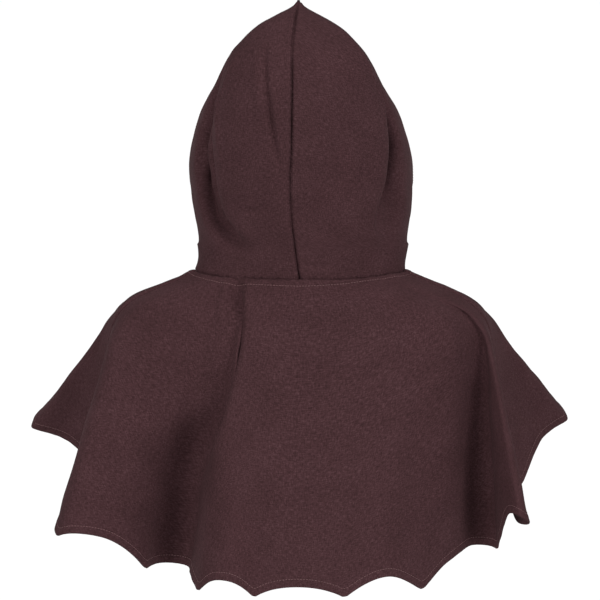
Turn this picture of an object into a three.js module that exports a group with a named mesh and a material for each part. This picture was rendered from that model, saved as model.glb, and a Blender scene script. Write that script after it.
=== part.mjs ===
// A pull-over cloth hood with a shoulder mantle, as worn. Millimetres, +Z up, the face towards -Y.
// The origin is where the crown of the head meets the cloth. +X is the wearer's left.
// Two hood halves are sewn together from the nape over the peak to the forehead. Their lower edge is
// sewn to a round mantle of a back and a front panel, whose hem is cut into hollow curves between points.
import * as THREE from "three";

// The cloth and how it is sewn.
const CLOTH = 1.5; // wall of the heavy cotton, with what the seams add to it
const SEAM_GAP = 0.3; // between two panels sewn edge to edge

// The hood. Its heights are measured up from the neck seam at the centre back.
const HOOD_HEIGHT = 322;
const HOOD_HALF_WIDTH = 138; // at the flared face edge
const HOOD_HALF_DEPTH = 108;
const PEAK_ABOVE_HEAD = 28; // the empty point of the hood over the crown
const FACE_BOTTOM = 0.11; // share of the height where the face opening starts over the throat seam
const FACE_ROUNDING = 0.2; // share of the height that the round bottom of the opening takes
const GROOVE_WIDTH = 15; // from the floor of the groove down each side to its slopes
const GROOVE_DEPTH = 24;

// The neck seam, an oval that dips at the throat.
const NECK_HALF_WIDTH = 126;
const NECK_HALF_DEPTH = 82;
const THROAT_DIP = 42;

// Where the mantle bends down, over the shoulders and the upper back and chest.
const BEND_HALF_WIDTH = 226;
const BEND_HALF_DEPTH = 112;
const SHOULDER_DROP = 38; // from the neck seam down to the bend
const BACK_DROP = 62;
const CHEST_DROP = 78;
const BEND_SOFTNESS = 44; // half the length of cloth that the bend takes up

// The mantle's own cut, from the neck seam to the points of the hem, and how far it stands out.
const MANTLE_LENGTH = 383;
const HEM_HALF_WIDTH = 340;
const HEM_HALF_DEPTH = 240;

// The two deep valleys beside the middle of the back, at their widest and deepest.
const VALLEY_WIDTH = 28;
const VALLEY_DEPTH = 20;

// The hem's points.
const POINTS = 20;
const POINT_DEPTH = 15;
const POINT_ROUNDING = 0.05; // share of the pitch that the blunt end of a point takes

// Where the side seams run, as shares of the way round from the centre back to the centre front.
const LEFT_SEAM = 0.42;
const RIGHT_SEAM = -0.42;

// Shares that keep the shapes sound when a size above is changed.
const EASE_POWER = 10; // how quickly the hood's bottom eases onto the neck seam
const LEAST_FALL = 0.25; // of the cloth below the bend
const MOST_BEND = 0.9; // of the cloth above the bend
const CUT_EASE = 4; // how quickly the lines across the mantle take on the cut of the hem
const NEAR = 1e-3; // a near place on a surface, to find which way it faces

// How finely the panels are faceted.
const STEPS_PER_POINT = 6;
const MANTLE_ROWS = 12;
const ROW_CROWDING = 1.25; // towards the neck, where the mantle bends
const HOOD_COLUMNS = 30;
const THROAT_ROWS = 2;
const FACE_ROWS = 16;

const CLOTH_COLOUR = 0x4c3235;

const NECK_LEVEL = PEAK_ABOVE_HEAD - HOOD_HEIGHT;
const HALF_TURN = Math.PI;

// The hood's sections from the neck seam to the ridge, seen from above. up: share of the way up. seam,
// corner and side are points from the centre seam towards the face, as shares of the hood's half width
// and half depth, with the back positive.
const HOOD_SECTIONS = [
  { up: 0.0, seamX: 0.04, seamY: 0.76, cornerX: 0.79, cornerY: 0.38, sideX: 0.79, sideY: -0.38 },
  { up: 0.1, seamX: 0.05, seamY: 0.82, cornerX: 0.72, cornerY: 0.46, sideX: 0.86, sideY: -0.34 },
  { up: 0.2, seamX: 0.07, seamY: 0.88, cornerX: 0.7, cornerY: 0.54, sideX: 0.95, sideY: -0.3 },
  { up: 0.33, seamX: 0.08, seamY: 0.95, cornerX: 0.665, cornerY: 0.61, sideX: 0.93, sideY: -0.06 },
  { up: 0.5, seamX: 0.07, seamY: 0.98, cornerX: 0.645, cornerY: 0.63, sideX: 0.88, sideY: -0.04 },
  { up: 0.68, seamX: 0.065, seamY: 0.92, cornerX: 0.585, cornerY: 0.58, sideX: 0.73, sideY: -0.04 },
  { up: 0.84, seamX: 0.06, seamY: 0.72, cornerX: 0.45, cornerY: 0.44, sideX: 0.54, sideY: -0.04 },
  { up: 0.94, seamX: 0.03, seamY: 0.48, cornerX: 0.24, cornerY: 0.28, sideX: 0.3, sideY: -0.14 },
  { up: 1.0, seamX: 0.01, seamY: 0.3, cornerX: 0.0, cornerY: 0.0, sideX: 0.0, sideY: -0.4 },
];

// The same sections' ends. rim: where the face edge is. seamZ, rimZ: how high the section is at its two
// ends, as shares of the hood's height. sway: how far the section sits to the wearer's left.
const HOOD_EDGES = [
  { up: 0.0, seamZ: 0.0, rimX: 0.5, rimY: -0.76, rimZ: -0.13, sway: 0.0 },
  { up: 0.1, seamZ: 0.1, rimX: 0.8, rimY: -0.9, rimZ: 0.03, sway: -0.02 },
  { up: 0.2, seamZ: 0.2, rimX: 0.94, rimY: -0.9, rimZ: 0.19, sway: -0.02 },
  { up: 0.33, seamZ: 0.33, rimX: 0.99, rimY: -0.8, rimZ: 0.33, sway: -0.01 },
  { up: 0.5, seamZ: 0.5, rimX: 0.92, rimY: -0.8, rimZ: 0.51, sway: 0.0 },
  { up: 0.68, seamZ: 0.69, rimX: 0.74, rimY: -0.84, rimZ: 0.67, sway: 0.01 },
  { up: 0.84, seamZ: 0.86, rimX: 0.48, rimY: -0.87, rimZ: 0.81, sway: 0.02 },
  { up: 0.94, seamZ: 0.955, rimX: 0.25, rimY: -0.88, rimZ: 0.88, sway: 0.02 },
  { up: 1.0, seamZ: 1.0, rimX: 0.0, rimY: -0.88, rimZ: 0.92, sway: 0.01 },
];

// The groove down each side of the hood. up: share of the way up. left, right: where its floor is on the
// two halves, as shares of the way from the centre seam to the face edge. depth: share of its full depth.
const HOOD_GROOVES = [
  { up: 0.0, left: 0.2, right: 0.3, depth: 0.0 },
  { up: 0.1, left: 0.25, right: 0.33, depth: 0.15 },
  { up: 0.17, left: 0.32, right: 0.37, depth: 0.35 },
  { up: 0.24, left: 0.4, right: 0.42, depth: 0.6 },
  { up: 0.33, left: 0.48, right: 0.48, depth: 1.0 },
  { up: 0.45, left: 0.52, right: 0.52, depth: 0.9 },
  { up: 0.6, left: 0.55, right: 0.55, depth: 0.45 },
  { up: 0.75, left: 0.58, right: 0.58, depth: 0.1 },
  { up: 0.9, left: 0.6, right: 0.6, depth: 0.0 },
  { up: 1.0, left: 0.6, right: 0.6, depth: 0.0 },
];

// The mantle's folds seen from above, a row for each ridge, valley or turn. around: share of the way from
// the centre back to the centre front, positive round the wearer's left side. bendX, bendY: where the cloth
// bends over the body, as shares of the bend's half width and half depth. hemX, hemY: where it ends, as
// shares of the hem's. The back is positive. length: how long the cloth is there from the neck seam, as a
// share of the mantle's length.
const FOLDS = [
  { around: 0.05, bendX: 0.2, bendY: 1.0, hemX: 0.155, hemY: 0.8, length: 0.975 },
  { around: 0.1, bendX: 0.32, bendY: 1.02, hemX: 0.255, hemY: 0.78, length: 0.98 },
  { around: 0.125, bendX: 0.36, bendY: 1.0, hemX: 0.305, hemY: 0.72, length: 0.975 },
  { around: 0.15, bendX: 0.385, bendY: 0.95, hemX: 0.345, hemY: 0.64, length: 0.975 },
  { around: 0.17, bendX: 0.4, bendY: 0.88, hemX: 0.372, hemY: 0.53, length: 0.975 },
  { around: 0.19, bendX: 0.43, bendY: 0.82, hemX: 0.4, hemY: 0.43, length: 0.97 },
  { around: 0.215, bendX: 0.49, bendY: 0.76, hemX: 0.435, hemY: 0.37, length: 0.965 },
  { around: 0.25, bendX: 0.6, bendY: 0.74, hemX: 0.52, hemY: 0.47, length: 0.955 },
  { around: 0.3, bendX: 0.77, bendY: 0.7, hemX: 0.67, hemY: 0.57, length: 0.955 },
  { around: 0.345, bendX: 0.92, bendY: 0.52, hemX: 0.822, hemY: 0.55, length: 0.99 },
  { around: 0.37, bendX: 0.95, bendY: 0.42, hemX: 0.85, hemY: 0.42, length: 0.99 },
  { around: 0.4, bendX: 0.97, bendY: 0.3, hemX: 0.79, hemY: 0.2, length: 1.0 },
  { around: 0.5, bendX: 1.0, bendY: -0.05, hemX: 0.69, hemY: -0.32, length: 0.94 },
  { around: 0.6, bendX: 0.99, bendY: -0.3, hemX: 0.88, hemY: -0.58, length: 0.92 },
  { around: 0.65, bendX: 0.97, bendY: -0.44, hemX: 1.0, hemY: -0.65, length: 0.92 },
  { around: 0.7, bendX: 0.88, bendY: -0.58, hemX: 0.96, hemY: -0.86, length: 0.93 },
  { around: 0.75, bendX: 0.75, bendY: -0.71, hemX: 0.78, hemY: -0.98, length: 0.94 },
  { around: 0.85, bendX: 0.45, bendY: -0.89, hemX: 0.48, hemY: -0.82, length: 0.94 },
  { around: 1.0, bendX: 0.0, bendY: -1.0, hemX: 0.0, hemY: -0.97, length: 0.94 },
  { around: 1.15, bendX: -0.45, bendY: -0.89, hemX: -0.48, hemY: -0.83, length: 0.94 },
  { around: 1.25, bendX: -0.75, bendY: -0.71, hemX: -0.79, hemY: -1.0, length: 0.93 },
  { around: 1.3, bendX: -0.88, bendY: -0.58, hemX: -0.96, hemY: -0.88, length: 0.92 },
  { around: 1.35, bendX: -0.97, bendY: -0.44, hemX: -1.0, hemY: -0.65, length: 0.9 },
  { around: 1.4, bendX: -0.99, bendY: -0.3, hemX: -0.91, hemY: -0.56, length: 0.92 },
  { around: 1.45, bendX: -1.0, bendY: -0.18, hemX: -0.82, hemY: -0.46, length: 0.98 },
  { around: 1.5, bendX: -1.0, bendY: -0.05, hemX: -0.72, hemY: -0.33, length: 0.96 },
  { around: 1.6, bendX: -0.98, bendY: 0.28, hemX: -0.75, hemY: 0.38, length: 0.94 },
  { around: 1.645, bendX: -0.965, bendY: 0.38, hemX: -0.78, hemY: 0.6, length: 0.965 },
  { around: 1.67, bendX: -0.96, bendY: 0.42, hemX: -0.75, hemY: 0.64, length: 0.98 },
  { around: 1.7, bendX: -0.955, bendY: 0.46, hemX: -0.715, hemY: 0.55, length: 0.985 },
  { around: 1.73, bendX: -0.95, bendY: 0.5, hemX: -0.69, hemY: 0.43, length: 1.045 },
  { around: 1.76, bendX: -0.93, bendY: 0.52, hemX: -0.65, hemY: 0.34, length: 1.08 },
  { around: 1.79, bendX: -0.88, bendY: 0.6, hemX: -0.585, hemY: 0.38, length: 1.1 },
  { around: 1.82, bendX: -0.8, bendY: 0.76, hemX: -0.5, hemY: 0.5, length: 1.1 },
  { around: 1.85, bendX: -0.68, bendY: 0.86, hemX: -0.42, hemY: 0.62, length: 1.085 },
  { around: 1.9, bendX: -0.47, bendY: 0.95, hemX: -0.29, hemY: 0.755, length: 1.02 },
  { around: 1.95, bendX: -0.24, bendY: 0.99, hemX: -0.15, hemY: 0.8, length: 0.985 },
];

// The valleys that slant across the folds, a row for each place down the cloth. along: share of the
// cloth's length from the neck seam. around: where the valley's floor is. width, depth: shares of the
// valleys' own. Their two edges fade out evenly.
const LEFT_VALLEY = [
  { along: 0.0, around: 0.17, width: 0.3, depth: 0.0 },
  { along: 0.12, around: 0.166, width: 0.3, depth: 0.25 },
  { along: 0.25, around: 0.158, width: 0.35, depth: 0.45 },
  { along: 0.4, around: 0.168, width: 0.5, depth: 0.6 },
  { along: 0.6, around: 0.215, width: 0.85, depth: 0.85 },
  { along: 0.8, around: 0.223, width: 1.0, depth: 1.0 },
  { along: 1.0, around: 0.222, width: 1.0, depth: 1.0 },
];
const RIGHT_VALLEY = [
  { along: 0.0, around: -0.25, width: 0.5, depth: 0.0 },
  { along: 0.2, around: -0.248, width: 0.5, depth: 0.15 },
  { along: 0.4, around: -0.244, width: 0.6, depth: 0.4 },
  { along: 0.6, around: -0.232, width: 0.7, depth: 0.6 },
  { along: 0.85, around: -0.23, width: 0.8, depth: 0.8 },
  { along: 1.0, around: -0.23, width: 0.8, depth: 0.85 },
];

// Reads any column of a table smoothly between its rows. With a period, the rows run round and round.
function smoothTable(rows, place, period) {
  const count = rows.length;
  const placeOf = (i) =>
    period
      ? rows[((i % count) + count) % count][place] + period * Math.floor(i / count)
      : rows[i][place];
  const valueOf = (i, column) => rows[((i % count) + count) % count][column];
  const slopeAt = (i, column) => {
    const before = period || i > 0 ? i - 1 : i;
    const after = period || i < count - 1 ? i + 1 : i;
    const rise = (a, b) => (valueOf(b, column) - valueOf(a, column)) / (placeOf(b) - placeOf(a));
    if (before === i) return rise(i, after);
    if (after === i) return rise(before, i);
    const share = (placeOf(i) - placeOf(before)) / (placeOf(after) - placeOf(before));
    return rise(before, i) * (1 - share) + rise(i, after) * share;
  };
  return (column, at) => {
    const first = placeOf(0);
    const x = period ? first + ((((at - first) % period) + period) % period) : at;
    let i = 0;
    const last = period ? count - 1 : count - 2;
    while (i < last && placeOf(i + 1) <= x) i += 1;
    const width = placeOf(i + 1) - placeOf(i);
    const t = (x - placeOf(i)) / width;
    const fromStart = (1 + 2 * t) * (1 - t) ** 2 * valueOf(i, column);
    const fromEnd = t * t * (3 - 2 * t) * valueOf(i + 1, column);
    const slopes = t * (1 - t) ** 2 * slopeAt(i, column) - t * t * (1 - t) * slopeAt(i + 1, column);
    return fromStart + fromEnd + width * slopes;
  };
}

const sectionAt = smoothTable(HOOD_SECTIONS, "up");
const edgeAt = smoothTable(HOOD_EDGES, "up");
const grooveAt = smoothTable(HOOD_GROOVES, "up");
const foldAt = smoothTable(FOLDS, "around", 2);
const valleysAt = [LEFT_VALLEY, RIGHT_VALLEY].map((rows) => smoothTable(rows, "along"));

// A point of the neck seam. turn: 0 at the centre back, 1 or -1 at the centre front.
function neckPoint(turn) {
  const angle = turn * HALF_TURN;
  const frontness = Math.max(0, -Math.cos(angle));
  return new THREE.Vector3(
    NECK_HALF_WIDTH * Math.sin(angle),
    NECK_HALF_DEPTH * Math.cos(angle),
    NECK_LEVEL - THROAT_DIP * frontness ** 2,
  );
}

// How far the face opening has opened at this height, rounded at its bottom.
function faceOpen(up) {
  const closed = 1 - (up - FACE_BOTTOM) / FACE_ROUNDING;
  return Math.sqrt(1 - Math.min(1, Math.max(0, closed)) ** 2);
}

// A point of the table's hood surface. across: 0 at the centre seam, 1 at the face edge. side: 1 for
// the wearer's left, -1 for the right.
function hoodTablePoint(across, up, side) {
  const read = (column) => sectionAt(column, up);
  const edge = (column) => edgeAt(column, up);
  const seamX = side * (read("seamX") - edge("sway"));
  const corner = { x: read("cornerX"), y: read("cornerY") };
  const section = smoothTable(
    [
      { at: -1 / 3, x: 2 * seamX - corner.x, y: corner.y },
      { at: 0, x: seamX, y: read("seamY") },
      { at: 1 / 3, ...corner },
      { at: 2 / 3, x: read("sideX"), y: read("sideY") },
      { at: 1, x: edge("rimX") * faceOpen(up), y: edge("rimY") },
    ],
    "at",
  );
  const rise = across * across * (3 - 2 * across);
  const height = edge("seamZ") + (edge("rimZ") - edge("seamZ")) * rise;
  return new THREE.Vector3(
    (side * section("x", across) + edge("sway")) * HOOD_HALF_WIDTH,
    section("y", across) * HOOD_HALF_DEPTH,
    NECK_LEVEL + height * HOOD_HEIGHT,
  );
}

// The hood's form: the table's surface, eased at the bottom onto the neck seam.
function hoodForm(across, up, side) {
  const point = hoodTablePoint(across, up, side);
  const ease = (1 - up) ** EASE_POWER;
  const miss = neckPoint(side * across).sub(hoodTablePoint(across, 0, side));
  return point.addScaledVector(miss, ease);
}

// The direction out of one of the hood's surfaces.
function hoodOutward(surface, across, up, side) {
  const a = Math.min(1 - NEAR, Math.max(NEAR, across));
  const b = Math.min(1 - NEAR, Math.max(NEAR, up));
  const acrossBy = surface(a + NEAR, b, side).sub(surface(a - NEAR, b, side));
  const upBy = surface(a, b + NEAR, side).sub(surface(a, b - NEAR, side));
  return outward(acrossBy, upBy).multiplyScalar(side);
}

// The hood's outer face: its form, with the groove sunk into each side.
function hoodPoint(across, up, side) {
  const floor = grooveAt(side > 0 ? "left" : "right", up);
  const aside = (across - floor) * (HOOD_HALF_WIDTH + HOOD_HALF_DEPTH);
  const depth = GROOVE_DEPTH * grooveAt("depth", up) * Math.exp(-((aside / GROOVE_WIDTH) ** 2));
  const out = hoodOutward(hoodForm, across, up, side);
  return hoodForm(across, up, side).addScaledVector(out, -depth);
}

// The mantle's folds. around: 0 at the centre back, 1 or -1 at the centre front. along: the share of
// the cloth's length from the neck seam. Each line down the cloth runs straight to the bend over the
// shoulder, back or chest, bends softly, and runs straight to the hem, and keeps the length that hangs.
function foldPoint(around, along) {
  const read = (column) => foldAt(column, around);
  const length = MANTLE_LENGTH * read("length");
  const neck = neckPoint(around);
  const endDrop = read("bendY") > 0 ? BACK_DROP : CHEST_DROP;
  const drop = SHOULDER_DROP + (endDrop - SHOULDER_DROP) * read("bendY") ** 2;
  const bend = new THREE.Vector3(
    BEND_HALF_WIDTH * read("bendX"),
    BEND_HALF_DEPTH * read("bendY"),
    NECK_LEVEL - drop,
  );
  const flat = new THREE.Vector2(
    read("hemX") * HEM_HALF_WIDTH - bend.x,
    read("hemY") * HEM_HALF_DEPTH - bend.y,
  );
  const upper = bend.distanceTo(neck);
  const lower = length - upper;
  const fall = Math.sqrt(Math.max(lower ** 2 - flat.lengthSq(), (lower * LEAST_FALL) ** 2));
  const before = bend.clone().sub(neck).normalize();
  const after = new THREE.Vector3(flat.x, flat.y, -fall).normalize();
  const past = along * length - upper;
  const soft = Math.min(BEND_SOFTNESS, upper * MOST_BEND);
  if (past <= -soft) return bend.addScaledVector(before, past);
  if (past >= soft) return bend.addScaledVector(after, past);
  const turn = (past ** 2 + soft ** 2) / (4 * soft);
  return bend
    .addScaledVector(before, past / 2 - turn)
    .addScaledVector(after, past / 2 + turn);
}

// How deep the slanting valleys are at a place of the mantle.
function valleyDepth(around, along) {
  const neckLength = (Math.PI * (NECK_HALF_WIDTH + NECK_HALF_DEPTH)) / 2;
  const hemLength = (Math.PI * (HEM_HALF_WIDTH + HEM_HALF_DEPTH)) / 2;
  const perAround = neckLength + (hemLength - neckLength) * along;
  const nearBack = around > 1 ? around - 2 : around;
  const depths = valleysAt.map((read) => {
    const aside = (nearBack - read("around", along)) * perAround;
    const share = aside / (VALLEY_WIDTH * read("width", along));
    return VALLEY_DEPTH * read("depth", along) * Math.exp(-(share ** 2));
  });
  return Math.max(...depths);
}

// The direction out of the mantle's folds.
function foldOutward(around, along) {
  const acrossBy = foldPoint(around + NEAR, along).sub(foldPoint(around - NEAR, along));
  const upBy = foldPoint(around, along - NEAR).sub(foldPoint(around, along + NEAR));
  return outward(acrossBy, upBy);
}

// The mantle's outer face: its folds, with the valleys sunk into them.
function mantlePoint(around, along) {
  const depth = valleyDepth(around, along);
  return foldPoint(around, along).addScaledVector(foldOutward(around, along), -depth);
}

// How much of the cloth's length the hollow curve between two points of the hem cuts away.
function hemCut(around) {
  const place = (around * POINTS) / 2;
  const fromMiddle = Math.abs(place - Math.round(place)) * 2;
  const blunt = Math.min(1, fromMiddle / (1 - POINT_ROUNDING));
  return (POINT_DEPTH / MANTLE_LENGTH) * (1 - blunt ** 2);
}

// A closed wall of cloth on a grid of outer points and the directions from the outer to the inner face.
// The grid's rows go up, and each row runs clockwise seen from above.
function clothWall(outer, inward) {
  const rows = outer.length;
  const columns = outer[0].length;
  const corners = [];
  for (const face of [0, CLOTH])
    for (let j = 0; j < rows; j += 1)
      for (let i = 0; i < columns; i += 1)
        corners.push(outer[j][i].clone().addScaledVector(inward[j][i], face));
  const at = (i, j, face) => face * rows * columns + j * columns + i;
  const triangles = [];
  const quad = (a, b, c, d) => triangles.push(a, d, c, a, c, b);
  for (let j = 0; j + 1 < rows; j += 1)
    for (let i = 0; i + 1 < columns; i += 1) {
      quad(at(i, j, 0), at(i + 1, j, 0), at(i + 1, j + 1, 0), at(i, j + 1, 0));
      quad(at(i, j, 1), at(i, j + 1, 1), at(i + 1, j + 1, 1), at(i + 1, j, 1));
    }
  for (let i = 0; i + 1 < columns; i += 1) {
    quad(at(i, 0, 0), at(i, 0, 1), at(i + 1, 0, 1), at(i + 1, 0, 0));
    quad(at(i, rows - 1, 0), at(i + 1, rows - 1, 0), at(i + 1, rows - 1, 1), at(i, rows - 1, 1));
  }
  for (let j = 0; j + 1 < rows; j += 1) {
    quad(at(0, j, 0), at(0, j + 1, 0), at(0, j + 1, 1), at(0, j, 1));
    const end = columns - 1;
    quad(at(end, j, 0), at(end, j, 1), at(end, j + 1, 1), at(end, j + 1, 0));
  }
  const geometry = new THREE.BufferGeometry();
  geometry.setFromPoints(corners);
  geometry.setIndex(triangles);
  return geometry;
}

// The direction out of a surface, from how it runs clockwise and how it runs up.
function outward(clockwise, upwards) {
  return upwards.cross(clockwise).normalize();
}

function named(name, geometry) {
  const cotton = new THREE.MeshStandardMaterial({ color: CLOTH_COLOUR, roughness: 0.95, metalness: 0 });
  const mesh = new THREE.Mesh(geometry, cotton);
  mesh.name = name;
  return mesh;
}

// The heights of the hood's rows of facets, with one where the face opening starts.
function hoodHeights() {
  const heights = [];
  for (let j = 0; j < THROAT_ROWS; j += 1) heights.push((FACE_BOTTOM * j) / THROAT_ROWS);
  for (let j = 0; j <= FACE_ROWS; j += 1)
    heights.push(FACE_BOTTOM + ((1 - FACE_BOTTOM) * j) / FACE_ROWS);
  return heights;
}

// One half of the hood. Along the centre, ridge and throat seams its wall meets the other half's
// squarely, half a seam gap from the middle. Its bottom edge stands level on the mantle.
function hoodHalf(name, side) {
  const heights = hoodHeights();
  const outer = [];
  const inward = [];
  heights.forEach((up, j) => {
    const points = [];
    const directions = [];
    for (let i = 0; i <= HOOD_COLUMNS; i += 1) {
      const across = i / HOOD_COLUMNS;
      const point = hoodPoint(across, up, side);
      const out = hoodOutward(hoodPoint, across, up, side);
      const onRidge = j === heights.length - 1;
      const onThroat = i === HOOD_COLUMNS && j <= THROAT_ROWS;
      if (j === 0) {
        point.z += SEAM_GAP;
        out.z = 0;
      }
      if (i === 0 || onRidge || onThroat) {
        point.x += (side * SEAM_GAP) / 2;
        out.x = 0;
      }
      points.push(point);
      directions.push(out.normalize().negate());
    }
    outer.push(side > 0 ? points : points.reverse());
    inward.push(side > 0 ? directions : directions.reverse());
  });
  return named(name, clothWall(outer, inward));
}

// Where a panel's lines of facets run: at its two side seams and, between them, in step with the points.
function mantleColumns(from, to) {
  const step = 2 / (POINTS * STEPS_PER_POINT);
  const columns = [from];
  for (let i = Math.ceil(from / step); i * step < to; i += 1) {
    const clear = Math.min(i * step - from, to - i * step);
    if (clear > step / 3) columns.push(i * step);
  }
  columns.push(to);
  return columns;
}

// One panel of the mantle, between two side seams.
function mantlePanel(name, from, to) {
  const columns = mantleColumns(from, to);
  const outer = [];
  const inward = [];
  for (let j = 0; j <= MANTLE_ROWS; j += 1) {
    const share = (j / MANTLE_ROWS) ** ROW_CROWDING;
    const points = [];
    const directions = [];
    columns.forEach((around, i) => {
      const along = share - hemCut(around) * share ** CUT_EASE;
      const acrossBy = mantlePoint(around + NEAR, along).sub(mantlePoint(around - NEAR, along));
      const upBy = mantlePoint(around, along - NEAR).sub(mantlePoint(around, along + NEAR));
      const point = mantlePoint(around, along);
      const sideways = acrossBy.clone().normalize();
      if (i === 0) point.addScaledVector(sideways, SEAM_GAP / 2);
      if (i === columns.length - 1) point.addScaledVector(sideways, -SEAM_GAP / 2);
      points.push(point);
      directions.push(outward(acrossBy, upBy).negate());
    });
    outer.unshift(points);
    inward.unshift(directions);
  }
  return named(name, clothWall(outer, inward));
}

const hood = new THREE.Group();
hood.add(
  hoodHalf("hood_left", 1),
  hoodHalf("hood_right", -1),
  mantlePanel("mantle_back", RIGHT_SEAM, LEFT_SEAM),
  mantlePanel("mantle_front", LEFT_SEAM, 2 + RIGHT_SEAM),
);

export default hood;
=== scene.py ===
import bmesh
import bpy
import math
import numpy as np
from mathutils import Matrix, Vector, noise


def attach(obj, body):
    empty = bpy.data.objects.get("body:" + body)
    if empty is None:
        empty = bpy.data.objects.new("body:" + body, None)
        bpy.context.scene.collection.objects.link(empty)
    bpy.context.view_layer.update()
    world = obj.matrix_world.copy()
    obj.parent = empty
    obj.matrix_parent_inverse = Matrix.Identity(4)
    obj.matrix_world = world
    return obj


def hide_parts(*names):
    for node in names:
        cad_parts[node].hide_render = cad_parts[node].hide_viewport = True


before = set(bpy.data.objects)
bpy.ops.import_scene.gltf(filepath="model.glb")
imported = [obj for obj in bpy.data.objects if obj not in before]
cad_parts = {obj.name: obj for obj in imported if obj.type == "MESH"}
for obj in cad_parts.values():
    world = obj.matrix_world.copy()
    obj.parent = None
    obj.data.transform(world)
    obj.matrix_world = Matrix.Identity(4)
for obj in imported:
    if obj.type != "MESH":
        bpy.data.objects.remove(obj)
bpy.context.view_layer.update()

# Camera: a long lens three metres behind the hood and eight degrees above level, aimed at its middle.
camera_data = bpy.data.cameras.new("camera")
camera = bpy.data.objects.new("camera", camera_data)
bpy.context.scene.collection.objects.link(camera)
bpy.context.scene.camera = camera
looked_at = Vector((0.0, 0.0, -0.33))
camera_distance, camera_raised = 3.0, math.radians(8.0)
camera_back = Vector((0.0, math.cos(camera_raised), math.sin(camera_raised)))
camera.location = looked_at + camera_back * camera_distance
camera.rotation_mode = "QUATERNION"
camera.rotation_quaternion = (-camera_back).to_track_quat("-Z", "Y")
camera_data.sensor_width = 36.0
camera_data.lens = 150.0
camera_data.clip_start, camera_data.clip_end = 0.1, 400.0

# Mantle, back panel: heavy brown cotton, cut as part of a ring and sewn to the hood's lower edge.
# It falls off the shoulders in a few deep folds. Its hem is cut into hollow curves between points,
# turned in once and stitched.
CLOTH = 0.0014
NECK_LEVEL = -0.294
NECK_HALF_WIDTH, NECK_HALF_DEPTH, THROAT_DIP = 0.126, 0.082, 0.042
BEND_HALF_WIDTH, BEND_HALF_DEPTH = 0.226, 0.112
SHOULDER_DROP, BACK_DROP, CHEST_DROP = 0.038, 0.062, 0.078
BEND_SOFTNESS, MOST_BEND, LEAST_FALL = 0.044, 0.9, 0.25
MANTLE_LENGTH = 0.383
HEM_HALF_WIDTH, HEM_HALF_DEPTH = 0.34, 0.24
POINTS, POINT_DEPTH, POINT_ROUNDING = 20, 0.015, 0.05
LEFT_SEAM, RIGHT_SEAM = 0.42, -0.42
HEM_FOLD = 0.011  # how far the hem is turned in
HEM_STITCHES = 0.0092  # from the edge
NECK_STITCHES = 0.0086  # from the neck seam
STITCH_PITCH, STITCH_LENGTH, THREAD = 0.0034, 0.0026, 0.0006
STITCH_LIFT = 0.0001  # above the cloth's face
HALF_ROUND = 1.08  # metres to one unit of around, near the hem
# The lowered hem past the right back point: place and width in units of around, drop as a share.
HANGING_AT, HANGING_WIDTH, HANGING_LENGTH = -0.383, 0.027, 0.02
# The flat ring that the panels are cut from: inner radius, and radians to one unit of around.
PATTERN_RADIUS, PATTERN_TURN = 0.165, 2.1

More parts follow.
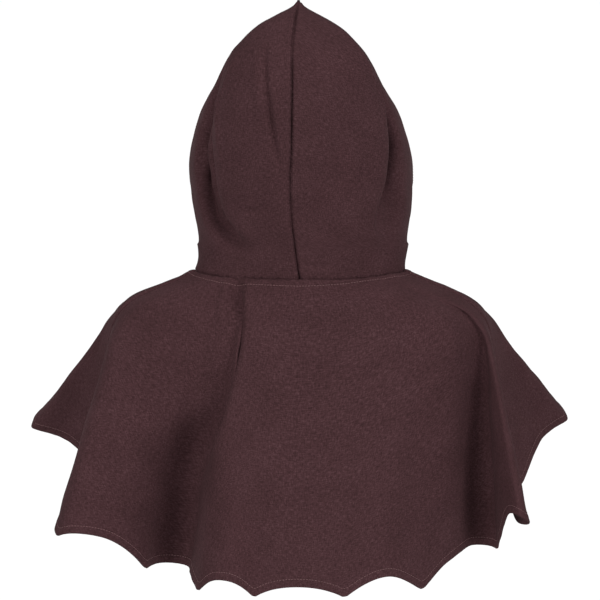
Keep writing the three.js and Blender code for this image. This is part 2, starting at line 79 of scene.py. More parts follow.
# A row for each ridge, valley or turn of the folds. around: share of the way from the centre back to
# the centre front, by the wearer's left. bend: where the cloth bends over the body. hem: where it ends.
FOLDS = [
    dict(around=0.05, bendX=0.2, bendY=1.0, hemX=0.155, hemY=0.8, length=0.975),
    dict(around=0.1, bendX=0.32, bendY=1.02, hemX=0.255, hemY=0.78, length=0.98),
    dict(around=0.125, bendX=0.36, bendY=1.0, hemX=0.305, hemY=0.72, length=0.975),
    dict(around=0.15, bendX=0.385, bendY=0.95, hemX=0.345, hemY=0.64, length=0.975),
    dict(around=0.17, bendX=0.4, bendY=0.88, hemX=0.372, hemY=0.53, length=0.975),
    dict(around=0.19, bendX=0.43, bendY=0.82, hemX=0.4, hemY=0.43, length=0.97),
    dict(around=0.215, bendX=0.49, bendY=0.76, hemX=0.435, hemY=0.37, length=0.965),
    dict(around=0.25, bendX=0.6, bendY=0.74, hemX=0.52, hemY=0.47, length=0.955),
    dict(around=0.3, bendX=0.77, bendY=0.7, hemX=0.67, hemY=0.57, length=0.955),
    dict(around=0.345, bendX=0.92, bendY=0.52, hemX=0.822, hemY=0.55, length=0.99),
    dict(around=0.37, bendX=0.95, bendY=0.42, hemX=0.85, hemY=0.42, length=0.99),
    dict(around=0.4, bendX=0.97, bendY=0.3, hemX=0.79, hemY=0.2, length=1.0),
    dict(around=0.5, bendX=1.0, bendY=-0.05, hemX=0.69, hemY=-0.32, length=0.94),
    dict(around=0.6, bendX=0.99, bendY=-0.3, hemX=0.88, hemY=-0.58, length=0.92),
    dict(around=0.65, bendX=0.97, bendY=-0.44, hemX=1.0, hemY=-0.65, length=0.92),
    dict(around=0.7, bendX=0.88, bendY=-0.58, hemX=0.96, hemY=-0.86, length=0.93),
    dict(around=0.75, bendX=0.75, bendY=-0.71, hemX=0.78, hemY=-0.98, length=0.94),
    dict(around=0.85, bendX=0.45, bendY=-0.89, hemX=0.48, hemY=-0.82, length=0.94),
    dict(around=1.0, bendX=0.0, bendY=-1.0, hemX=0.0, hemY=-0.97, length=0.94),
    dict(around=1.15, bendX=-0.45, bendY=-0.89, hemX=-0.48, hemY=-0.83, length=0.94),
    dict(around=1.25, bendX=-0.75, bendY=-0.71, hemX=-0.79, hemY=-1.0, length=0.93),
    dict(around=1.3, bendX=-0.88, bendY=-0.58, hemX=-0.96, hemY=-0.88, length=0.92),
    dict(around=1.35, bendX=-0.97, bendY=-0.44, hemX=-1.0, hemY=-0.65, length=0.9),
    dict(around=1.4, bendX=-0.99, bendY=-0.3, hemX=-0.91, hemY=-0.56, length=0.92),
    dict(around=1.45, bendX=-1.0, bendY=-0.18, hemX=-0.82, hemY=-0.46, length=0.98),
    dict(around=1.5, bendX=-1.0, bendY=-0.05, hemX=-0.72, hemY=-0.33, length=0.96),
    dict(around=1.6, bendX=-0.98, bendY=0.28, hemX=-0.75, hemY=0.38, length=0.94),
    dict(around=1.645, bendX=-0.965, bendY=0.38, hemX=-0.78, hemY=0.6, length=0.965),
    dict(around=1.67, bendX=-0.96, bendY=0.42, hemX=-0.75, hemY=0.64, length=0.98),
    dict(around=1.7, bendX=-0.955, bendY=0.46, hemX=-0.715, hemY=0.55, length=0.985),
    dict(around=1.73, bendX=-0.95, bendY=0.5, hemX=-0.69, hemY=0.43, length=1.045),
    dict(around=1.76, bendX=-0.93, bendY=0.52, hemX=-0.65, hemY=0.34, length=1.08),
    dict(around=1.79, bendX=-0.88, bendY=0.6, hemX=-0.585, hemY=0.38, length=1.1),
    dict(around=1.82, bendX=-0.8, bendY=0.76, hemX=-0.5, hemY=0.5, length=1.1),
    dict(around=1.85, bendX=-0.68, bendY=0.86, hemX=-0.42, hemY=0.62, length=1.085),
    dict(around=1.9, bendX=-0.47, bendY=0.95, hemX=-0.29, hemY=0.755, length=1.02),
    dict(around=1.95, bendX=-0.24, bendY=0.99, hemX=-0.15, hemY=0.8, length=0.985),
]

# The two deep valleys that slant across the folds. along: share of the way down. around: the floor.
VALLEY_WIDTH, VALLEY_DEPTH = 0.028, 0.02
LEFT_VALLEY = [
    dict(along=0.0, around=0.17, width=0.3, depth=0.0),
    dict(along=0.12, around=0.166, width=0.3, depth=0.25),
    dict(along=0.25, around=0.158, width=0.35, depth=0.45),
    dict(along=0.4, around=0.168, width=0.5, depth=0.6),
    dict(along=0.6, around=0.215, width=0.85, depth=0.85),
    dict(along=0.8, around=0.223, width=1.0, depth=1.0),
    dict(along=1.0, around=0.222, width=1.0, depth=1.0),
]
RIGHT_VALLEY = [
    dict(along=0.0, around=-0.25, width=0.5, depth=0.0),
    dict(along=0.2, around=-0.248, width=0.5, depth=0.15),
    dict(along=0.4, around=-0.244, width=0.6, depth=0.4),
    dict(along=0.6, around=-0.232, width=0.7, depth=0.6),
    dict(along=0.85, around=-0.23, width=0.8, depth=0.8),
    dict(along=1.0, around=-0.23, width=0.8, depth=0.85),
]

# Creases that the big folds don't hold. path: (around, share of the way down); width and depth in
# metres, a ridge with a negative depth.
MANTLE_CREASES = [
    dict(path=[(0.2, 0.005), (0.172, 0.07), (0.124, 0.17), (0.112, 0.25), (0.118, 0.33)],
         width=0.008, depth=0.009),
    dict(path=[(0.14, 0.12), (0.125, 0.25), (0.134, 0.35), (0.155, 0.44), (0.2, 0.62)],
         width=0.015, depth=0.011),
    dict(path=[(0.16, 0.02), (0.125, 0.1), (0.098, 0.2)], width=0.007, depth=-0.0025),
    dict(path=[(0.25, 0.015), (0.23, 0.09), (0.2, 0.2)], width=0.006, depth=0.003),
    dict(path=[(0.03, 0.68), (0.033, 0.8), (0.042, 0.93)], width=0.008, depth=0.005),
    dict(path=[(-0.07, 0.62), (-0.075, 0.8), (-0.09, 0.94)], width=0.012, depth=0.002),
]


def smooth_table(rows, place, period=None):
    """Any column of a table read smoothly between its rows, for a whole array of places."""
    places = np.array([row[place] for row in rows])
    if period:
        places = np.concatenate([places[-2:] - period, places, places[:2] + period])

    def read(column, at):
        values = np.array([row[column] for row in rows])
        if period:
            values = np.concatenate([values[-2:], values, values[:2]])
        width = np.diff(places)
        rise = np.diff(values) / width
        slopes = np.empty(len(places))
        slopes[0], slopes[-1] = rise[0], rise[-1]
        share = width[:-1] / (width[:-1] + width[1:])
        slopes[1:-1] = rise[:-1] * (1 - share) + rise[1:] * share
        at = np.asarray(at, float)
        if period:
            at = places[2] + np.mod(at - places[2], period)
        i = np.clip(np.searchsorted(places, at, side="right") - 1, 0, len(places) - 2)
        t = (at - places[i]) / width[i]
        from_start = (1 + 2 * t) * (1 - t) ** 2 * values[i]
        from_end = t * t * (3 - 2 * t) * values[i + 1]
        bends = t * (1 - t) ** 2 * slopes[i] - t * t * (1 - t) * slopes[i + 1]
        return from_start + from_end + width[i] * bends

    return read


fold_at = smooth_table(FOLDS, "around", 2)
valleys_at = [smooth_table(rows, "along") for rows in (LEFT_VALLEY, RIGHT_VALLEY)]


def neck_point(turn):
    """The oval neck seam, from the centre back at 0 to the centre front at 1, dipping at the throat."""
    angle = np.asarray(turn) * math.pi
    frontness = np.maximum(0, -np.cos(angle))
    x, y = NECK_HALF_WIDTH * np.sin(angle), NECK_HALF_DEPTH * np.cos(angle)
    return np.stack([x, y, NECK_LEVEL - THROAT_DIP * frontness ** 2], -1)


def mantle_point(around, along):
    """The mantle's outer face: straight to the bend over the body, a soft bend, straight to the hem."""
    around, along = np.broadcast_arrays(np.asarray(around, float), np.asarray(along, float))
    length = MANTLE_LENGTH * fold_at("length", around)
    neck = neck_point(around)
    bend_y = fold_at("bendY", around)
    drop = SHOULDER_DROP + (np.where(bend_y > 0, BACK_DROP, CHEST_DROP) - SHOULDER_DROP) * bend_y ** 2
    bend_x = BEND_HALF_WIDTH * fold_at("bendX", around)
    bend = np.stack([bend_x, BEND_HALF_DEPTH * bend_y, NECK_LEVEL - drop], -1)
    flat_x = fold_at("hemX", around) * HEM_HALF_WIDTH - bend[..., 0]
    flat_y = fold_at("hemY", around) * HEM_HALF_DEPTH - bend[..., 1]
    upper = np.linalg.norm(bend - neck, axis=-1)
    lower = length - upper
    fall = np.sqrt(np.maximum(lower ** 2 - flat_x ** 2 - flat_y ** 2, (lower * LEAST_FALL) ** 2))
    before = (bend - neck) / upper[..., None]
    after = np.stack([flat_x, flat_y, -fall], -1)
    after /= np.linalg.norm(after, axis=-1)[..., None]
    past = along * length - upper
    soft = np.minimum(BEND_SOFTNESS, upper * MOST_BEND)
    turn = (past ** 2 + soft ** 2) / (4 * soft)
    inside = np.abs(past) < soft
    back = np.where(inside, past / 2 - turn, np.minimum(past, 0))
    on = np.where(inside, past / 2 + turn, np.maximum(past, 0))
    return bend + before * back[..., None] + after * on[..., None]


def valley_depth(around, along):
    """How deep the slanting valleys are at each place of the mantle."""
    neck_length = math.pi * (NECK_HALF_WIDTH + NECK_HALF_DEPTH) / 2
    hem_length = math.pi * (HEM_HALF_WIDTH + HEM_HALF_DEPTH) / 2
    per_around = neck_length + (hem_length - neck_length) * along
    near_back = np.where(around > 1, around - 2, around)
    depths = []
    for read in valleys_at:
        aside = (near_back - read("around", along)) * per_around
        share = aside / (VALLEY_WIDTH * read("width", along))
        depths.append(VALLEY_DEPTH * read("depth", along) * np.exp(-(share ** 2)))
    return np.maximum(*depths)


def bump(distance, middle, width):
    """A soft swell of height 1 round a middle."""
    return np.exp(-(((distance - middle) / width) ** 2))


def hem_cut(around):
    """How far up the hollow curves between the points cut, as a share of the mantle's length."""
    place = np.asarray(around) * POINTS / 2
    from_middle = np.abs(place - np.round(place)) * 2
    blunt = np.minimum(1, from_middle / (1 - POINT_ROUNDING))
    # Past the point of the right back fold the hem hangs lower, and shows its inside from behind.
    hanging = np.exp(-(((np.asarray(around) - HANGING_AT) / HANGING_WIDTH) ** 4))
    return POINT_DEPTH / MANTLE_LENGTH * (1 - blunt ** 2) * (1 - hanging) - HANGING_LENGTH * hanging


def grid_normals(points):
    """Outward unit normals of a grid whose rows go up and whose columns run clockwise from above."""
    along = np.gradient(points, axis=0)
    across = np.gradient(points, axis=1)
    normals = np.cross(along, across)
    return normals / np.maximum(np.linalg.norm(normals, axis=-1), 1e-12)[..., None]


def crumple(points, size, seed):
    """Soft seeded noise at each point, from about -1 to 1."""
    flat = points.reshape(-1, 3) / size + seed
    return np.array([noise.noise(Vector(p)) for p in flat]).reshape(points.shape[:2])


def creased(points, line, width, depth):
    """How far a crease along a line sinks each point, fading towards its two ends."""
    ends = np.sin(np.pi * np.linspace(0.06, 0.97, len(line))) ** 0.6
    sunk = np.zeros(points.shape[:2])
    for place, end in zip(line, ends):
        near = np.linalg.norm(points - place, axis=-1)
        sunk = np.maximum(sunk, end * np.exp(-((near / width) ** 2)))
    return sunk * depth


def path_line(path, surface, steps=60):
    """The points on a surface along a path given in the surface's own two shares."""
    path = np.array(path, float)
    at = np.linspace(0, len(path) - 1, steps)
    places = [np.interp(at, np.arange(len(path)), path[:, k]) for k in range(2)]
    return surface(*places)


def cloth_object(name, points, uv):
    """A cloth wall from a grid of its outer face, with the cut cloth's own flat places as its UV map."""
    rows, columns = points.shape[:2]
    mesh = bpy.data.meshes.new(name)
    index = np.arange(rows * columns).reshape(rows, columns)
    quads = np.stack([index[:-1, 1:], index[:-1, :-1], index[1:, :-1], index[1:, 1:]], -1).reshape(-1, 4)
    mesh.from_pydata(points.reshape(-1, 3).tolist(), [], quads.tolist())
    layer = mesh.uv_layers.new(name="cloth")
    layer.data.foreach_set("uv", uv.reshape(-1, 2)[quads.reshape(-1)].astype(np.float32).ravel())
    mesh.polygons.foreach_set("use_smooth", [True] * len(mesh.polygons))
    piece = bpy.data.objects.new(name, mesh)
    bpy.context.scene.collection.objects.link(piece)
    bpy.ops.object.select_all(action="DESELECT")
    piece.select_set(True)
    bpy.context.view_layer.objects.active = piece
    wall = piece.modifiers.new("wall", "SOLIDIFY")
    wall.thickness, wall.offset = CLOTH, -1.0
    wall.use_even_offset = False
    bpy.ops.object.modifier_apply(modifier="wall")
    return piece


def linear(hex_colour):
    """A linear colour from an sRGB hex value."""
    parts = [int(hex_colour[i:i + 2], 16) / 255 for i in (1, 3, 5)]
    return [p / 12.92 if p <= 0.04045 else ((p + 0.055) / 1.055) ** 2.4 for p in parts] + [1.0]


def add_node(tree, kind, inputs=(), **settings):
    """Adds a node with its settings, and links or sets its inputs."""
    node = tree.nodes.new(kind)
    for key, value in settings.items():
        setattr(node, key, value)
    for key, value in dict(inputs).items():
        if isinstance(value, bpy.types.NodeSocket):
            tree.links.new(value, node.inputs[key])
        else:
            node.inputs[key].default_value = value
    return node


def heathered_cotton():
    """Heavy plain-woven cotton of mixed brown and maroon yarns: matt, a little hairy, and flecked."""
    material = bpy.data.materials.new("heathered_cotton_plain_weave")
    material.use_nodes = True
    tree = material.node_tree
    tree.nodes.clear()
    places = add_node(tree, "ShaderNodeUVMap", uv_map="cloth").outputs["UV"]
    # Yarns lie about 0.7 mm apart, under a pixel in the render, so they are drawn 1.2 mm apart.
    yarns = 1 / 0.0012
    longer = 4  # how many times longer than wide a fleck is
    flecks = []
    for long_way in (0, 1):
        scale = (yarns, yarns / longer, 1) if long_way else (yarns / longer, yarns, 1)
        place = add_node(tree, "ShaderNodeMapping", {"Vector": places, "Scale": scale})
        fleck = add_node(tree, "ShaderNodeTexNoise",
                         {"Vector": place.outputs["Vector"], "Scale": 1.0, "Detail": 2.0,
                          "Roughness": 0.6},
                         noise_dimensions="2D")
        flecks.append(fleck.outputs["Fac"])
    both = add_node(tree, "ShaderNodeMath", {0: flecks[0], 1: flecks[1]}, operation="ADD")
    # Broad patches where more of one yarn shows, 40 to 60 mm across.
    broad = add_node(tree, "ShaderNodeTexNoise",
                     {"Vector": places, "Scale": 22.0, "Detail": 3.0, "Roughness": 0.55},
                     noise_dimensions="2D")
    broad_part = add_node(tree, "ShaderNodeMath", {0: broad.outputs["Fac"], 1: 0.35},
                          operation="MULTIPLY")
    total = add_node(tree, "ShaderNodeMath", {0: both.outputs[0], 1: broad_part.outputs[0]},
                     operation="ADD")
    ramp = add_node(tree, "ShaderNodeValToRGB", {"Fac": add_node(
        tree, "ShaderNodeMapRange",
        {"Value": total.outputs[0], "From Min": 0.8, "From Max": 1.55}).outputs["Result"]})
    ramp.color_ramp.elements[0].color = linear("#2d1b1d")
    ramp.color_ramp.elements[1].color = linear("#483134")
    for share, colour in ((0.35, "#362224"), (0.6, "#3c2629")):
        ramp.color_ramp.elements.new(share).color = linear(colour)
    relief = add_node(tree, "ShaderNodeBump",
                      {"Strength": 0.4, "Distance": 0.0005, "Height": both.outputs[0]})
    shader = add_node(tree, "ShaderNodeBsdfPrincipled", {
        "Base Color": ramp.outputs["Color"], "Roughness": 0.95, "Specular IOR Level": 0.08,
        "Sheen Weight": 0.04, "Sheen Roughness": 0.6, "Sheen Tint": linear("#8a6a6c"),
        "Normal": relief.outputs["Normal"]})
    add_node(tree, "ShaderNodeOutputMaterial", {"Surface": shader.outputs["BSDF"]})
    return material


cotton = heathered_cotton()


def sewing_thread():
    """Spun polyester sewing thread, a shade lighter and pinker than the cloth."""
    material = bpy.data.materials.new("spun_sewing_thread")
    material.use_nodes = True
    shader = material.node_tree.nodes["Principled BSDF"]
    shader.inputs["Base Color"].default_value = linear("#634546")
    shader.inputs["Roughness"].default_value = 0.6
    return material


thread = sewing_thread()


def stitch_line(name, line, out, material):
    """Lock stitches laid along a line on the cloth: short six-sided pills, half sunk in it."""
    steps = np.linalg.norm(np.diff(line, axis=0), axis=1)
    far = np.concatenate([[0], np.cumsum(steps)])
    count = int(far[-1] / STITCH_PITCH)

    def read(values, at):
        return np.stack([np.interp(at, far, values[:, k]) for k in range(3)], -1)

    middle = (np.arange(count) + 0.5) * far[-1] / count
    profile = [(-0.5, 0.35), (-0.3, 1.0), (0.3, 1.0), (0.5, 0.35)]
    sides = 6
    verts, faces = [], []
    for at in middle:
        normal = read(out, at)
        normal /= np.linalg.norm(normal)
        ahead = read(line, at + STITCH_LENGTH / 2) - read(line, at - STITCH_LENGTH / 2)
        ahead /= np.linalg.norm(ahead)
        side = np.cross(normal, ahead)
        base = len(verts)
        for share, thick in profile:
            centre = read(line, at + share * STITCH_LENGTH)
            for k in range(sides):
                angle = math.pi * k / 3
                arm = side * math.cos(angle) + normal * math.sin(angle) * 0.8
                verts.append(centre + arm * thick * THREAD / 2)
        last = (len(profile) - 1) * sides
        for ring in range(0, last, sides):
            for k in range(sides):
                a, b = base + ring + k, base + ring + (k + 1) % sides
                faces.append((a, b, b + sides, a + sides))
        faces.append(tuple(base + k for k in reversed(range(sides))))
        faces.append(tuple(base + last + k for k in range(sides)))
    mesh = bpy.data.meshes.new(name)
    mesh.from_pydata([tuple(v) for v in verts], [], faces)
    mesh.polygons.foreach_set("use_smooth", [True] * len(mesh.polygons))
    mesh.materials.append(material)
    piece = bpy.data.objects.new(name, mesh)
    bpy.context.scene.collection.objects.link(piece)
    solid = bmesh.new()
    solid.from_mesh(mesh)
    bmesh.ops.recalc_face_normals(solid, faces=solid.faces)
    solid.to_mesh(mesh)
    solid.free()
    return piece


def mantle_panel(name, start, end, fineness):
    """One panel of the mantle with its neck seam, side seams, turned hem, creases and puckers."""
    # Rows and columns lie closer at the edges, where the hem, the stitches and the seams are.
    near_side = np.array([0, 0.0008, 0.0017, 0.0028])
    between = np.linspace(start + 0.0045, end - 0.0045, int((end - start) * HALF_ROUND / fineness))
    around = np.concatenate([start + near_side, between, end - near_side[::-1]])
    columns = len(around)
    near_neck = [0, 0.0007, 0.0015, 0.003, 0.005, 0.007, 0.0078, 0.0086, 0.0094, 0.0105, 0.013]
    near_hem = [0, 0.0003, 0.001, 0.0025, 0.0045, 0.0065, 0.008, 0.0092, 0.0104, 0.012, 0.014, 0.017]
    length = MANTLE_LENGTH * fold_at("length", around)
    cut = hem_cut(around) * length
    middle = int((MANTLE_LENGTH - 0.03) / fineness)
    down = []
    for share in np.linspace(0, 1, middle)[1:-1]:
        down.append(near_neck[-1] + share * (length - cut * share ** 4 - near_neck[-1] - near_hem[-1]))
    rows = [np.full(columns, d) for d in near_neck] + down
    rows += [length - cut - d for d in reversed(near_hem)]
    from_neck = np.array(rows)[::-1]
    from_hem = (length - cut) - from_neck
    along = from_neck / length
    places = np.broadcast_to(around, along.shape)
    points = mantle_point(places, along)
    normals = grid_normals(points)
    from_side = np.minimum(
        np.linalg.norm(points - points[:, :1], axis=-1),
        np.linalg.norm(points - points[:, -1:], axis=-1))

    points = points - normals * valley_depth(places, along)[..., None]
    normals = grid_normals(points)

    sunk = np.zeros(along.shape)
    for crease in MANTLE_CREASES:
        if start <= crease["path"][0][0] <= end:
            line = path_line(crease["path"], mantle_point)
            sunk += creased(points, line, crease["width"], crease["depth"])
    # Soft unevenness of cloth that has been folded and worn, and puckers drawn in by the stitching.
    sunk += 0.0022 * crumple(points, 0.075, 3.1) + 0.0007 * crumple(points, 0.022, 8.4)
    along_hem = np.stack([places * HALF_ROUND, from_hem * 0.25, from_hem * 0], -1)
    hem_pucker = 0.0011 * crumple(along_hem, 0.012, 5.7) * np.exp(-from_hem / 0.011)
    neck_pucker = 0.0013 * crumple(along_hem * [0.35, 1, 1], 0.008, 9.2) * np.exp(-from_neck / 0.016)
    sunk += hem_pucker + neck_pucker
    # The hem's turned-in layer and the neck's seam allowance raise the cloth up to the stitches.
    raised = 0.0007 / (1 + np.exp((from_hem - HEM_FOLD) / 0.0006))
    raised += 0.0011 / (1 + np.exp((from_neck - NECK_STITCHES - 0.001) / 0.0008))
    hem_dent = 0.0006 * bump(from_hem, HEM_STITCHES, 0.0009)
    sunk += hem_dent + 0.0007 * bump(from_neck, NECK_STITCHES, 0.001)
    sunk += 0.0014 * bump(from_neck, 0, 0.0011) + 0.0034 * bump(from_side, 0, 0.0013)
    # The seam allowances are pressed to the front, where they hold the cloth up beside the seam.
    sunk -= (0.0024 if start == LEFT_SEAM else 0.0004) * bump(from_side, 0.006, 0.004)
    # Where the shoulder seam runs into the neck seam its layers stand up in a lump.
    shoulder = mantle_point(places * 0 + (end if end < 1 else start), 0.03)
    corner = np.linalg.norm(points - shoulder, axis=-1)
    raised += 0.0022 * np.exp(-((corner / 0.008) ** 2))
    points = points + normals * (raised - sunk)[..., None]

    turn = places * PATTERN_TURN
    radius = PATTERN_RADIUS + from_neck
    uv = np.stack([radius * np.sin(turn), -radius * np.cos(turn)], -1)
    piece = cloth_object(name, points, uv)
    piece.data.materials.append(cotton)
    normals = grid_normals(points)
    hem_row = len(near_hem) - 1 - near_hem[::-1].index(HEM_STITCHES)
    neck_row = along.shape[0] - 1 - near_neck.index(NECK_STITCHES)
    hem_line = points[hem_row] + normals[hem_row] * STITCH_LIFT
    neck_line = points[neck_row] + normals[neck_row] * STITCH_LIFT
    stitches = [
        stitch_line(name + "_hem_stitches", hem_line, normals[hem_row], thread),
        stitch_line(name + "_neck_stitches", neck_line, normals[neck_row], thread),
    ]
    return piece, stitches


back_panel, back_stitches = mantle_panel("mantle_back_cloth", RIGHT_SEAM, LEFT_SEAM, 0.0033)
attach(back_panel, "root")
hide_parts("mantle_back")
for stitches in back_stitches:
    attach(stitches, "root")

# Mantle, front panel: the same cotton, sewn to the back panel along the shoulders and down the sides.
# The photograph shows only its two outer lobes, so it is finished as the back is.
front_panel, front_stitches = mantle_panel("mantle_front_cloth", LEFT_SEAM, 2 + RIGHT_SEAM, 0.0038)
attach(front_panel, "root")
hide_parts("mantle_front")
for stitches in front_stitches:
    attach(stitches, "root")

# Hood, left and right halves: two panels of the same cotton, cut alike and sewn together
# from the nape over the peak to the forehead, and at the throat. The seam is a thin puckered groove.
# The face edge is turned in and stitched.
HOOD_HEIGHT, HOOD_HALF_WIDTH, HOOD_HALF_DEPTH = 0.322, 0.138, 0.108
FACE_BOTTOM, FACE_ROUNDING, EASE_POWER = 0.11, 0.2, 10
FACE_STITCHES = 0.0105
HOOD_FINENESS = 0.0024
HALF_WIDTH, HALF_RISE = 0.29, 0.33  # a half's rough size, by which its columns and rows are spaced

# up: share of the way from the neck seam to the ridge. Sections are seen from above.
HOOD_SECTIONS = [
    dict(up=0.0, seamX=0.04, seamY=0.76, cornerX=0.79, cornerY=0.38, sideX=0.79, sideY=-0.38),
    dict(up=0.1, seamX=0.05, seamY=0.82, cornerX=0.72, cornerY=0.46, sideX=0.86, sideY=-0.34),
    dict(up=0.2, seamX=0.07, seamY=0.88, cornerX=0.7, cornerY=0.54, sideX=0.95, sideY=-0.3),
    dict(up=0.33, seamX=0.08, seamY=0.95, cornerX=0.665, cornerY=0.61, sideX=0.93, sideY=-0.06),
    dict(up=0.5, seamX=0.07, seamY=0.98, cornerX=0.645, cornerY=0.63, sideX=0.88, sideY=-0.04),
    dict(up=0.68, seamX=0.065, seamY=0.92, cornerX=0.585, cornerY=0.58, sideX=0.73, sideY=-0.04),
    dict(up=0.84, seamX=0.06, seamY=0.72, cornerX=0.45, cornerY=0.44, sideX=0.54, sideY=-0.04),
    dict(up=0.94, seamX=0.03, seamY=0.48, cornerX=0.24, cornerY=0.28, sideX=0.3, sideY=-0.14),
    dict(up=1.0, seamX=0.01, seamY=0.3, cornerX=0.0, cornerY=0.0, sideX=0.0, sideY=-0.4),
]
HOOD_EDGES = [
    dict(up=0.0, seamZ=0.0, rimX=0.5, rimY=-0.76, rimZ=-0.13, sway=0.0),
    dict(up=0.1, seamZ=0.1, rimX=0.8, rimY=-0.9, rimZ=0.03, sway=-0.02),
    dict(up=0.2, seamZ=0.2, rimX=0.94, rimY=-0.9, rimZ=0.19, sway=-0.02),
    dict(up=0.33, seamZ=0.33, rimX=0.99, rimY=-0.8, rimZ=0.33, sway=-0.01),
    dict(up=0.5, seamZ=0.5, rimX=0.92, rimY=-0.8, rimZ=0.51, sway=0.0),
    dict(up=0.68, seamZ=0.69, rimX=0.74, rimY=-0.84, rimZ=0.67, sway=0.01),
    dict(up=0.84, seamZ=0.86, rimX=0.48, rimY=-0.87, rimZ=0.81, sway=0.02),
    dict(up=0.94, seamZ=0.955, rimX=0.25, rimY=-0.88, rimZ=0.88, sway=0.02),
    dict(up=1.0, seamZ=1.0, rimX=0.0, rimY=-0.88, rimZ=0.92, sway=0.01),
]

# The groove down each half's side. left, right: where its floor lies on each half, as a share of the
# way from the centre seam to the face edge.
GROOVE_WIDTH, GROOVE_DEPTH = 0.015, 0.024
HOOD_GROOVES = [
    dict(up=0.0, left=0.2, right=0.3, depth=0.0),
    dict(up=0.1, left=0.25, right=0.33, depth=0.15),
    dict(up=0.17, left=0.32, right=0.37, depth=0.35),
    dict(up=0.24, left=0.4, right=0.42, depth=0.6),
    dict(up=0.33, left=0.48, right=0.48, depth=1.0),
    dict(up=0.45, left=0.52, right=0.52, depth=0.9),
    dict(up=0.6, left=0.55, right=0.55, depth=0.45),
    dict(up=0.75, left=0.58, right=0.58, depth=0.1),
    dict(up=0.9, left=0.6, right=0.6, depth=0.0),
    dict(up=1.0, left=0.6, right=0.6, depth=0.0),
]
# side: 1 for the wearer's left half. path: (share of the way from the centre seam, up).
HOOD_CREASES = [
    dict(side=1, path=[(0.155, 0.82), (0.135, 0.72), (0.105, 0.605), (0.08, 0.5), (0.055, 0.42)],
         width=0.003, depth=0.006),
    dict(side=1, path=[(0.19, 0.8), (0.17, 0.7), (0.135, 0.58)], width=0.007, depth=-0.0025),
    dict(side=1, path=[(0.1, 0.27), (0.16, 0.245), (0.21, 0.25)], width=0.004, depth=0.0018),
    dict(side=1, path=[(0.34, 0.8), (0.445, 0.635), (0.39, 0.53), (0.345, 0.41)],
         width=0.0045, depth=-0.002),
    dict(side=-1, path=[(0.34, 0.9), (0.4, 0.76), (0.46, 0.62), (0.375, 0.5)],
         width=0.0045, depth=-0.002),
    dict(side=1, path=[(0.62, 0.72), (0.625, 0.56), (0.62, 0.43), (0.585, 0.375), (0.55, 0.32),
                       (0.445, 0.23), (0.34, 0.175), (0.225, 0.13)], width=0.0095, depth=0.02),
    dict(side=-1, path=[(0.56, 0.7), (0.56, 0.56), (0.56, 0.465), (0.52, 0.395), (0.45, 0.335),
                        (0.37, 0.265), (0.32, 0.19)], width=0.0095, depth=0.02),
    dict(side=1, path=[(0.01, 0.82), (0.035, 0.795), (0.05, 0.76)], width=0.003, depth=0.0015),
    dict(side=-1, path=[(0.01, 0.81), (0.03, 0.78), (0.04, 0.75)], width=0.003, depth=0.0015),
    dict(side=-1, path=[(0.27, 0.465), (0.205, 0.36), (0.115, 0.235)], width=0.01, depth=-0.0015),
    dict(side=-1, path=[(0.03, 0.05), (0.07, 0.045), (0.11, 0.05)], width=0.003, depth=0.0015),
]

NEAR = 0.001  # half the step that the hood's normals are measured over
groove_at = smooth_table(HOOD_GROOVES, "up")
section_at = smooth_table(HOOD_SECTIONS, "up")
edge_at = smooth_table(HOOD_EDGES, "up")


def hood_table_point(across, up, side):
    """A half's outer face as its two tables give it: across from the centre seam, up from the neck."""
    across, up = np.broadcast_arrays(np.asarray(across, float), np.asarray(up, float))
    sway = edge_at("sway", up)
    seam_x = side * (section_at("seamX", up) - sway)
    closed = np.clip(1 - (up - FACE_BOTTOM) / FACE_ROUNDING, 0, 1)
    rim_x = edge_at("rimX", up) * np.sqrt(1 - closed ** 2)
    corner_x, corner_y = section_at("cornerX", up), section_at("cornerY", up)
    seam_y = section_at("seamY", up)
    xs = [2 * seam_x - corner_x, seam_x, corner_x, section_at("sideX", up), rim_x]
    ys = [corner_y, seam_y, corner_y, section_at("sideY", up), edge_at("rimY", up)]

    def through(values):
        i = np.clip((across * 3).astype(int), 0, 2)
        t = across * 3 - i
        values = np.stack(values)

        def pick(k):
            return np.take_along_axis(values, np.clip(k, 0, 4)[None], 0)[0]

        before, here, there = pick(i), pick(i + 1), pick(i + 2)
        leaving = (there - before) / 2
        arriving = np.where(i < 2, (pick(i + 3) - here) / 2, there - here)
        return ((1 + 2 * t) * (1 - t) ** 2 * here + t * t * (3 - 2 * t) * there
                + t * (1 - t) ** 2 * leaving - t * t * (1 - t) * arriving)

    rise = across * across * (3 - 2 * across)
    seam_z, rim_z = edge_at("seamZ", up), edge_at("rimZ", up)
    height = seam_z + (rim_z - seam_z) * rise
    return np.stack([(side * through(xs) + sway) * HOOD_HALF_WIDTH, through(ys) * HOOD_HALF_DEPTH,
                     NECK_LEVEL + height * HOOD_HEIGHT], -1)


def hood_form(across, up, side):
    """The same, eased down on to the oval neck seam."""
    across, up = np.broadcast_arrays(np.asarray(across, float), np.asarray(up, float))
    miss = neck_point(side * across) - hood_table_point(across, up * 0, side)
    return hood_table_point(across, up, side) + miss * ((1 - up) ** EASE_POWER)[..., None]


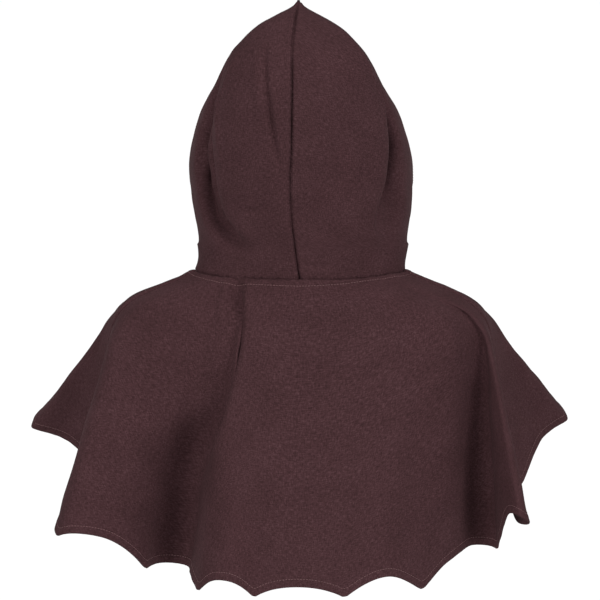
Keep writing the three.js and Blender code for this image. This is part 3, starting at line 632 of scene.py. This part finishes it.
def hood_point(across, up, side):
    """The same, with the groove sunk along the surface's normal."""
    across, up = np.broadcast_arrays(np.asarray(across, float), np.asarray(up, float))
    a, b = np.clip(across, NEAR, 1 - NEAR), np.clip(up, NEAR, 1 - NEAR)
    out = np.cross(hood_form(a + NEAR, b, side) - hood_form(a - NEAR, b, side),
                   hood_form(a, b + NEAR, side) - hood_form(a, b - NEAR, side))
    out *= -side / np.linalg.norm(out, axis=-1)[..., None]
    from_floor = across - groove_at("left" if side > 0 else "right", up)
    aside = from_floor * (HOOD_HALF_WIDTH + HOOD_HALF_DEPTH)
    depth = GROOVE_DEPTH * groove_at("depth", up) * np.exp(-((aside / GROOVE_WIDTH) ** 2))
    return hood_form(across, up, side) - out * depth[..., None]


def hood_half(name, side):
    """One half of the hood with its seams, turned face edge, creases and puckers."""
    near = [0, 0.0006, 0.0013, 0.0022, 0.0035, 0.005]
    near_rim = [0.0135, 0.012, 0.0105, 0.009, 0.007, 0.0045, 0.0025, 0.001, 0.0003, 0]
    between = np.linspace(0.0075, HALF_WIDTH - 0.016, int(HALF_WIDTH / HOOD_FINENESS)) / HALF_WIDTH
    columns = np.array([d / HALF_WIDTH for d in near] + list(between)
                       + [1 - d / HALF_WIDTH for d in near_rim])
    rows = np.array([d / HALF_RISE for d in near]
                    + list(np.linspace(0.0075, FACE_BOTTOM * HALF_RISE, 14)[:-1] / HALF_RISE)
                    + list(np.linspace(FACE_BOTTOM, 1 - 0.02, int(0.3 / HOOD_FINENESS)))
                    + [0.984, 0.988, 0.992, 0.995, 0.9975, 1.0])
    across, up = np.meshgrid(columns, rows)
    points = hood_point(across, up, side)
    # The rows run clockwise seen from above on both halves.
    if side < 0:
        points, across, up = points[:, ::-1], across[:, ::-1], up[:, ::-1]
    normals = grid_normals(points)
    steps = np.linalg.norm(np.diff(points, axis=1), axis=-1)
    far = np.concatenate([np.zeros((len(rows), 1)), np.cumsum(steps, axis=1)], 1)
    from_seam = far if side > 0 else far[:, -1:] - far
    from_rim = far[:, -1:] - far if side > 0 else far
    climbs = np.linalg.norm(np.diff(points, axis=0), axis=-1)
    climbed = np.concatenate([np.zeros((1, len(columns))), np.cumsum(climbs, axis=0)], 0)
    from_ridge = climbed[-1:] - climbed
    from_seam = np.minimum(from_seam, from_ridge)
    from_neck = climbed

    sunk = np.zeros(across.shape)
    for crease in HOOD_CREASES:
        if crease["side"] == side:
            line = path_line(crease["path"], lambda a, b: hood_point(a, b, side))
            sunk += creased(points, line, crease["width"], crease["depth"])
    sunk += 0.0018 * crumple(points, 0.06, 1.3 + side) + 0.0006 * crumple(points, 0.02, 4.8 + side)
    # The sewn seam draws the cloth in, and short puckers run off it.
    seam_way = np.stack([points[..., 2], from_seam * 0.3, points[..., 1] * 0.5], -1)
    sunk += 0.0016 * crumple(seam_way, 0.009, 2.2 + side) * np.exp(-from_seam / 0.010)
    sunk += 0.0036 * bump(from_seam, 0, 0.0013) - 0.0008 * bump(from_seam, 0.005, 0.0028)
    neck_way = np.stack([points[..., 0], points[..., 1], from_neck * 0.3], -1)
    sunk += 0.001 * crumple(neck_way, 0.010, 7.7) * np.exp(-from_neck / 0.012)
    sunk += 0.0016 * bump(from_neck, 0, 0.0014)
    open_rim = np.where(up > FACE_BOTTOM, 1.0, 0.0)
    raised = 0.0007 / (1 + np.exp((from_rim - 0.012) / 0.0006)) * open_rim
    sunk += 0.0005 * bump(from_rim, FACE_STITCHES, 0.0009) * open_rim
    sunk += 0.0016 * bump(from_rim, 0, 0.0016) * (1 - open_rim)
    # At the seam both halves sink alike and straight in, so that they still meet there.
    at_seam = np.exp(-((from_seam / 0.0011) ** 2))
    from_peak = np.linalg.norm(points - hood_point(0.0, 1.0, side), axis=-1)
    sunk = sunk * (1 - at_seam) + 0.0036 * (1 - 0.85 * bump(from_peak, 0, 0.012)) * at_seam
    normals[..., 0] *= 1 - at_seam
    points = points + normals * (raised - sunk)[..., None]
    points[..., 2] -= 0.0025 * bump(from_neck, 0, 0.0012)

    uv = np.stack([far, climbed.mean(axis=1, keepdims=True) + far * 0], -1)
    piece = cloth_object(name, points, uv)
    piece.data.materials.append(cotton)
    normals = grid_normals(points)
    rim_column = int(np.argmin(np.abs(columns - (1 - FACE_STITCHES / HALF_WIDTH))))
    if side < 0:
        rim_column = len(columns) - 1 - rim_column
    open_rows = rows > FACE_BOTTOM + 0.02
    line = points[open_rows, rim_column] + normals[open_rows, rim_column] * STITCH_LIFT
    stitches = stitch_line(name + "_face_stitches", line, normals[open_rows, rim_column], thread)
    return piece, stitches


for name, side in (("hood_left", 1), ("hood_right", -1)):
    half, face_stitches = hood_half(name + "_cloth", side)
    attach(half, "root")
    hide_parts(name)
    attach(face_stitches, "root")

# Floor and light: a plain pale floor far below the hood, soft even light from the camera's side and
# above, and a pale sky.
bpy.ops.object.select_all(action="DESELECT")
bpy.ops.mesh.primitive_plane_add(size=300.0, location=(0.0, 0.0, -1.6))
floor = bpy.context.active_object
floor.name = "floor"
paint = bpy.data.materials.new("matt_white_floor_paint")
paint.use_nodes = True
paint.node_tree.nodes["Principled BSDF"].inputs["Base Color"].default_value = linear("#ffffff")
paint.node_tree.nodes["Principled BSDF"].inputs["Roughness"].default_value = 0.9
floor.data.materials.append(paint)

world = bpy.data.worlds.new("studio")
bpy.context.scene.world = world
world.use_nodes = True
world.node_tree.nodes["Background"].inputs["Color"].default_value = (1.0, 1.0, 1.0, 1.0)
world.node_tree.nodes["Background"].inputs["Strength"].default_value = 0.22
bpy.context.scene.view_settings.view_transform = "Standard"

# Two softboxes, one on each side behind the camera, and one overhead. Each is as good as a wide sun,
# and so lights the floor evenly too.
for name, source, softness, power in (
    ("left_softbox", (0.68, 0.73, 0.5), 22.0, 1.68),
    ("right_softbox", (-0.68, 0.73, 0.5), 22.0, 1.85),
    ("top_softbox", (0.0, 0.15, 1.0), 40.0, 1.1),
):
    light_data = bpy.data.lights.new(name, "SUN")
    light_data.angle = math.radians(softness)
    light_data.energy = power
    light = bpy.data.objects.new(name, light_data)
    bpy.context.scene.collection.objects.link(light)
    light.rotation_mode = "QUATERNION"
    light.rotation_quaternion = (-Vector(source)).to_track_quat("-Z", "Y")
